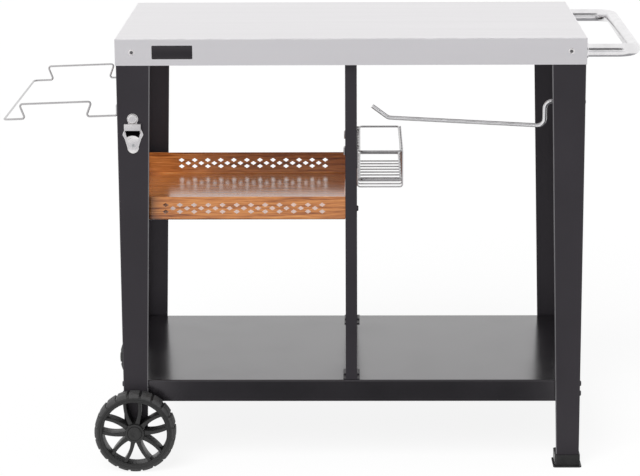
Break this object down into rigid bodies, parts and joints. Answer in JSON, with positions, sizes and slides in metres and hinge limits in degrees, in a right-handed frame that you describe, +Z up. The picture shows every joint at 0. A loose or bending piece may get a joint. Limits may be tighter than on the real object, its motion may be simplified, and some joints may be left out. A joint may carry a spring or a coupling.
{
  "type": "grill cart",
  "caption": "Rolling outdoor prep cart: folded steel worktop on tapered angle legs, lower shelf, perforated wood-print tray, push handle, bag rack, bottle opener, towel rod and spice basket.",
  "frame": {"origin": "on the floor under the middle of the whole outline, bag rack and handle included", "axes": "+X along the cart from the wheel end to the handle end, +Y from the front to the rear, +Z up"},
  "size_m": [1.2268, 0.5816, 0.856],
  "materials": {
    "stainless": "brushed along the cart",
    "black_powder_coat": "satin powder coat",
    "wood_print": "glossy printed oak grain on sheet steel",
    "polished_steel": "polished",
    "satin_steel": "satin",
    "zinc_steel": "zinc plated",
    "black_plastic": "fine moulded texture"
  },
  "bodies": {
    "cart": {"worktop": "stainless", "centre_channel": "black_powder_coat", "front_left_leg": "black_powder_coat", "rear_left_leg": "black_powder_coat", "front_right_leg": "black_powder_coat", "rear_right_leg": "black_powder_coat", "lower_shelf": "black_powder_coat", "front_post": "black_powder_coat", "rear_post": "black_powder_coat", "basket_rail": "black_powder_coat", "wood_tray": "wood_print", "push_handle": "polished_steel", "towel_rod": "polished_steel", "bottle_opener": "satin_steel", "handle_collars": "satin_steel", "axle": "zinc_steel", "axle_nuts": "zinc_steel", "front_right_foot": "black_plastic", "rear_right_foot": "black_plastic"},
    "front_wheel": {"front_wheel": "black_plastic", "front_hub_cap": "black_plastic"},
    "rear_wheel": {"rear_wheel": "black_plastic", "rear_hub_cap": "black_plastic"},
    "bag_rack": {"bag_rack": "polished_steel"},
    "spice_basket": {"basket_rings": "polished_steel", "basket_wires": "polished_steel"}
  },
  "joints": [
    {"name": "front_wheel_spin", "type": "hinge", "parent": "cart", "child": "front_wheel", "pos_m": [-0.36714, -0.2738, 0.08], "axis": [0, 1, 0], "continuous": true},
    {"name": "rear_wheel_spin", "type": "hinge", "parent": "cart", "child": "rear_wheel", "pos_m": [-0.36714, 0.2738, 0.08], "axis": [0, 1, 0], "continuous": true},
    {"name": "rack_tilt", "type": "hinge", "parent": "cart", "child": "bag_rack", "pos_m": [-0.38965, 0, 0.724], "axis": [0, 1, 0], "range_deg": [0, 60]},
    {"name": "basket_lift", "type": "slide", "parent": "cart", "child": "spice_basket", "axis": [0, 0, 1], "range_m": [0, 0.06]}
  ]
}
